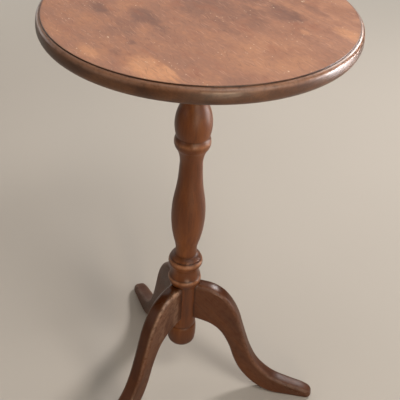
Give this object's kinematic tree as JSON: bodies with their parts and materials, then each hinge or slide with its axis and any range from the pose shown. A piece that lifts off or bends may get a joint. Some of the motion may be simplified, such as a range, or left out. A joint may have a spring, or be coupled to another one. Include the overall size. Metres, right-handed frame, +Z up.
{
  "type": "wine table",
  "caption": "Small round wine table: a flat step-edged top of glued boards on a turned vase-shaped column with S-curved legs, for standing a glass or a lamp on.",
  "frame": {"origin": "on the floor under the column's axis", "axes": "+Z up along the column, +X along the right leg"},
  "size_m": [0.3245, 0.308, 0.5],
  "materials": {
    "top_wood": "satin, worn",
    "frame_wood": "satin",
    "peg_wood": "bare",
    "screw_steel": "dull"
  },
  "bodies": {
    "root": {"top_board_front": "top_wood", "top_board_middle": "top_wood", "top_board_back": "top_wood", "mounting_block": "frame_wood", "block_screw_1": "screw_steel", "block_screw_2": "screw_steel", "block_screw_3": "screw_steel", "block_screw_4": "screw_steel", "column": "frame_wood", "spigot_wedge": "peg_wood", "leg_right": "frame_wood", "leg_back": "frame_wood", "leg_front": "frame_wood", "dowel_right_lower": "peg_wood", "dowel_right_upper": "peg_wood", "dowel_back_lower": "peg_wood", "dowel_back_upper": "peg_wood", "dowel_front_lower": "peg_wood", "dowel_front_upper": "peg_wood"}
  },
  "joints": []
}
